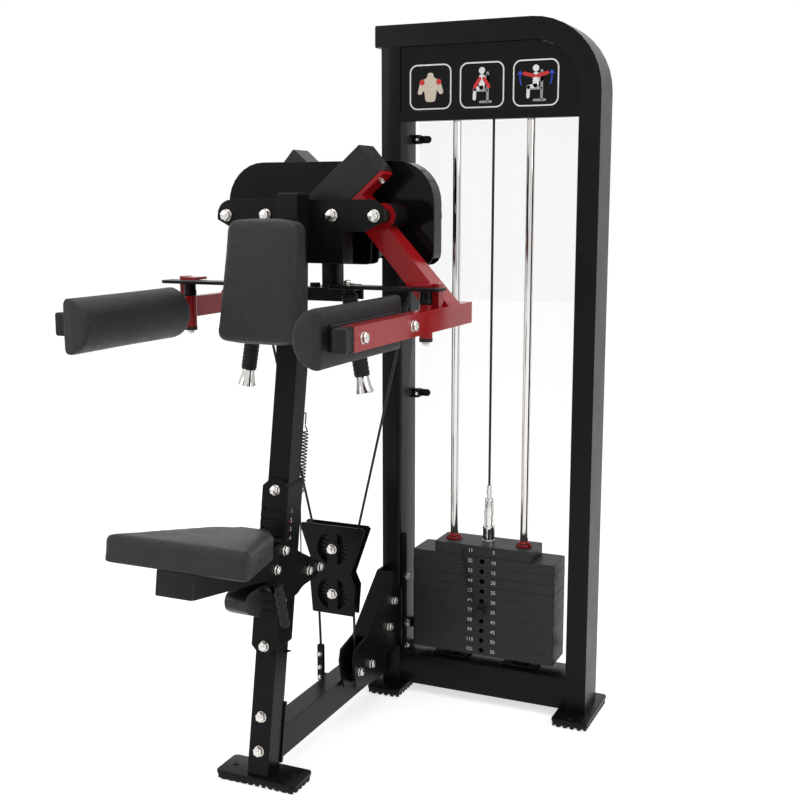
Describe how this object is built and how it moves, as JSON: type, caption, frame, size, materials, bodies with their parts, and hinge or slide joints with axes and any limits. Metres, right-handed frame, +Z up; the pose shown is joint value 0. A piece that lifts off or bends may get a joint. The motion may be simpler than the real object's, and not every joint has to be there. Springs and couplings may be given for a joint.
{
  "type": "shoulder machine",
  "caption": "Selectorised lateral raise machine: weight stack tower, leaning seat column with chest pad, and two swinging padded arms driven back to the stack by cams and cables.",
  "frame": {"origin": "middle of the floor area that the machine covers, on the floor", "axes": "+Z up, -Y towards the user's front, +X towards the far post of the weight tower"},
  "size_m": [0.9168, 1.0094, 1.642],
  "materials": {
    "frame_black": "glossy black powder coat",
    "panel_gloss": "high gloss black",
    "arm_red": "glossy dark red coat",
    "rubber_black": "matt",
    "pad_vinyl": "fine grained black upholstery",
    "chrome": "polished",
    "stack_iron": "satin black coat",
    "nylon_black": "satin",
    "cable_black": "coated wire rope",
    "clear_sheet": "clear",
    "lever_steel": "zinc coated"
  },
  "bodies": {
    "frame": {"left_post": "frame_black", "top_tube": "frame_black", "placard": "panel_gloss", "cross_beam": "frame_black", "foot_left": "rubber_black", "foot_right": "rubber_black", "foot_front": "rubber_black", "base_beam": "frame_black", "column": "frame_black", "seat_rail": "frame_black", "gusset_bracket": "frame_black", "guard_sheet": "clear_sheet", "guide_rod_left": "chrome", "guide_rod_right": "chrome", "bumper_left": "rubber_black", "bumper_right": "rubber_black", "front_bracket": "frame_black", "rear_bracket": "frame_black", "cam_housing": "panel_gloss", "hanger": "frame_black", "chest_pad": "pad_vinyl", "cable_adjuster": "frame_black", "weight_plate_07": "stack_iron", "weight_plate_08": "stack_iron", "weight_plate_09": "stack_iron", "weight_plate_10": "stack_iron", "cable_tower": "cable_black", "cable_arms": "cable_black", "cable_float": "cable_black", "cable_stack": "cable_black", "seat_spring": "chrome"},
    "stack": {"head_plate": "stack_iron", "weight_plate_01": "stack_iron", "weight_plate_02": "stack_iron", "weight_plate_03": "stack_iron", "weight_plate_04": "stack_iron", "weight_plate_05": "stack_iron", "weight_plate_06": "stack_iron", "lanyard": "nylon_black"},
    "pin": {"selector_pin": "nylon_black"},
    "block": {"floating_block": "frame_black"},
    "upper_sheave": {"sheave_upper": "nylon_black"},
    "lower_sheave": {"sheave_lower": "nylon_black"},
    "base_pulley": {"base_pulley": "nylon_black"},
    "post_pulley": {"post_pulley": "nylon_black"},
    "top_pulley_post": {"top_pulley_post": "nylon_black"},
    "top_pulley_stack": {"top_pulley_stack": "nylon_black"},
    "right_arm": {"arm_right": "arm_red", "counterweight_right": "frame_black", "cam_right": "arm_red", "forearm_pad_right": "pad_vinyl"},
    "left_arm": {"arm_left": "arm_red", "counterweight_left": "frame_black", "cam_left": "arm_red", "forearm_pad_left": "pad_vinyl"},
    "right_handle": {"handle_right": "nylon_black"},
    "left_handle": {"handle_left": "nylon_black"},
    "seat": {"seat_carriage": "frame_black", "seat_pad": "pad_vinyl"},
    "lever": {"seat_lever": "lever_steel"}
  },
  "joints": [
    {"name": "stack_lift", "type": "slide", "parent": "frame", "child": "stack", "axis": [0, 0, 1], "range_m": [0, 0.1068], "deforming": ["cable_stack"]},
    {"name": "right_arm_raise", "type": "hinge", "parent": "frame", "child": "right_arm", "pos_m": [0.0591, 0.15669, 1.204], "axis": [0, -1, 0], "range_deg": [0, 60]},
    {"name": "left_arm_raise", "type": "hinge", "parent": "frame", "child": "left_arm", "pos_m": [-0.2999, 0.15669, 1.204], "axis": [0, 1, 0], "range_deg": [0, 60]},
    {"name": "block_lift", "type": "slide", "parent": "frame", "child": "block", "axis": [0, 0, 1], "range_m": [0, 0.0534], "deforming": ["cable_arms", "cable_float"]},
    {"name": "upper_sheave_spin", "type": "hinge", "parent": "block", "child": "upper_sheave", "pos_m": [-0.1204, 0.15669, 0.425], "axis": [0, 1, 0], "continuous": true},
    {"name": "lower_sheave_spin", "type": "hinge", "parent": "block", "child": "lower_sheave", "pos_m": [-0.1204, 0.15669, 0.315], "axis": [0, -1, 0], "range_deg": [0, 66]},
    {"name": "base_pulley_spin", "type": "hinge", "parent": "frame", "child": "base_pulley", "pos_m": [-0.0701, 0.20269, 0.129], "axis": [-1, 0, 0], "range_deg": [0, 131]},
    {"name": "post_pulley_spin", "type": "hinge", "parent": "frame", "child": "post_pulley", "pos_m": [-0.0701, 0.39569, 0.3], "axis": [-1, 0, 0], "range_deg": [0, 306.5]},
    {"name": "top_pulley_post_spin", "type": "hinge", "parent": "frame", "child": "top_pulley_post", "pos_m": [-0.0541, 0.41569, 1.617], "axis": [0, -1, 0], "range_deg": [0, 383]},
    {"name": "top_pulley_stack_spin", "type": "hinge", "parent": "frame", "child": "top_pulley_stack", "pos_m": [0.15615, 0.41569, 1.617], "axis": [0, -1, 0], "range_deg": [0, 383]},
    {"name": "right_handle_swing", "type": "hinge", "parent": "right_arm", "child": "right_handle", "pos_m": [0.1706, 0.01269, 1.052], "axis": [0, 0, -1], "range_deg": [0, 25]},
    {"name": "left_handle_swing", "type": "hinge", "parent": "left_arm", "child": "left_handle", "pos_m": [-0.4114, 0.01269, 1.052], "axis": [0, 0, 1], "range_deg": [0, 25]},
    {"name": "selector_pull", "type": "slide", "parent": "stack", "child": "pin", "axis": [0, -1, 0], "range_m": [0, 0.062]},
    {"name": "seat_height", "type": "slide", "parent": "frame", "child": "seat", "axis": [0, 0.1752, 0.9845], "range_m": [-0.09, 0.08], "deforming": ["seat_spring"]},
    {"name": "lever_pull", "type": "hinge", "parent": "seat", "child": "lever", "pos_m": [-0.1204, -0.20571, 0.44844], "axis": [-1, 0, 0], "range_deg": [0, 14], "stiffness_Nm_per_rad": 4, "springref_deg": -17.19}
  ],
  "couplings": [
    {"joint": "right_arm_raise", "follows": "stack_lift", "rad_per_m": 9.8039},
    {"joint": "left_arm_raise", "follows": "stack_lift", "rad_per_m": 9.8039},
    {"joint": "block_lift", "follows": "stack_lift", "ratio": 0.5},
    {"joint": "lower_sheave_spin", "follows": "stack_lift", "rad_per_m": 10.638},
    {"joint": "base_pulley_spin", "follows": "stack_lift", "rad_per_m": 21.277},
    {"joint": "post_pulley_spin", "follows": "stack_lift", "rad_per_m": 50},
    {"joint": "top_pulley_post_spin", "follows": "stack_lift", "rad_per_m": 62.5},
    {"joint": "top_pulley_stack_spin", "follows": "stack_lift", "rad_per_m": 62.5}
  ]
}
